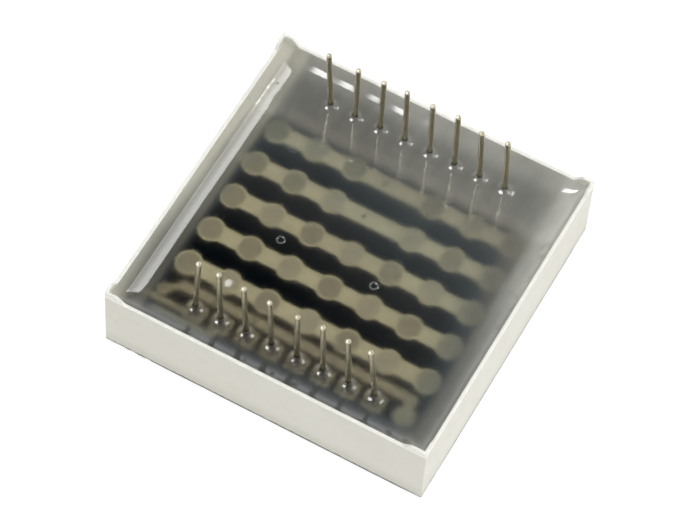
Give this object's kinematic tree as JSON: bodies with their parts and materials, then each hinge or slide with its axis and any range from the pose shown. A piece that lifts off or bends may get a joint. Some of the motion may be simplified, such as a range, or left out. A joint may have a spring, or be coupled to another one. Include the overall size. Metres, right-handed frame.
{
  "type": "led dot matrix module",
  "caption": "Square dot matrix display module lying on its face: white moulded tray, board potted in clear resin, and two rows of wire pins.",
  "frame": {"origin": "centre of the front face, which lies on the surface the module rests on", "axes": "+Z from the front face towards the pins, +X along the pin rows from pin 1 to pin 8, +Y from that row to the other"},
  "size_m": [0.0318, 0.0318, 0.0137],
  "materials": {
    "shell_white": "satin moulded, off-white",
    "face_ink": "matt printed black",
    "dot_resin": "milky cast resin",
    "chip": "polished semiconductor",
    "bond_gold": "drawn gold wire",
    "bare_copper": "etched copper",
    "resist_white": "white solder resist",
    "laminate": "dark glass-fibre laminate",
    "plated_copper": "dull plated copper",
    "resist_black": "blue-black solder resist",
    "solder": "dull solder",
    "potting": "clear, slightly hazy cast resin with a gloss surface",
    "pin_metal": "tinned wire, tarnished"
  },
  "bodies": {
    "root": {"reflector_shell": "shell_white", "face_mask": "face_ink", "dot_lenses": "dot_resin", "led_dies": "chip", "bond_wires": "bond_gold", "front_copper": "bare_copper", "front_resist": "resist_white", "circuit_board": "laminate", "rear_copper": "plated_copper", "rear_resist": "resist_black", "via_plugs": "bare_copper", "land_solder": "solder", "pin_solder": "solder", "potting_resin": "potting", "pin_01": "pin_metal", "pin_02": "pin_metal", "pin_03": "pin_metal", "pin_04": "pin_metal", "pin_05": "pin_metal", "pin_06": "pin_metal", "pin_07": "pin_metal", "pin_08": "pin_metal", "pin_09": "pin_metal", "pin_10": "pin_metal", "pin_11": "pin_metal", "pin_12": "pin_metal", "pin_13": "pin_metal", "pin_14": "pin_metal", "pin_15": "pin_metal", "pin_16": "pin_metal"}
  },
  "joints": []
}
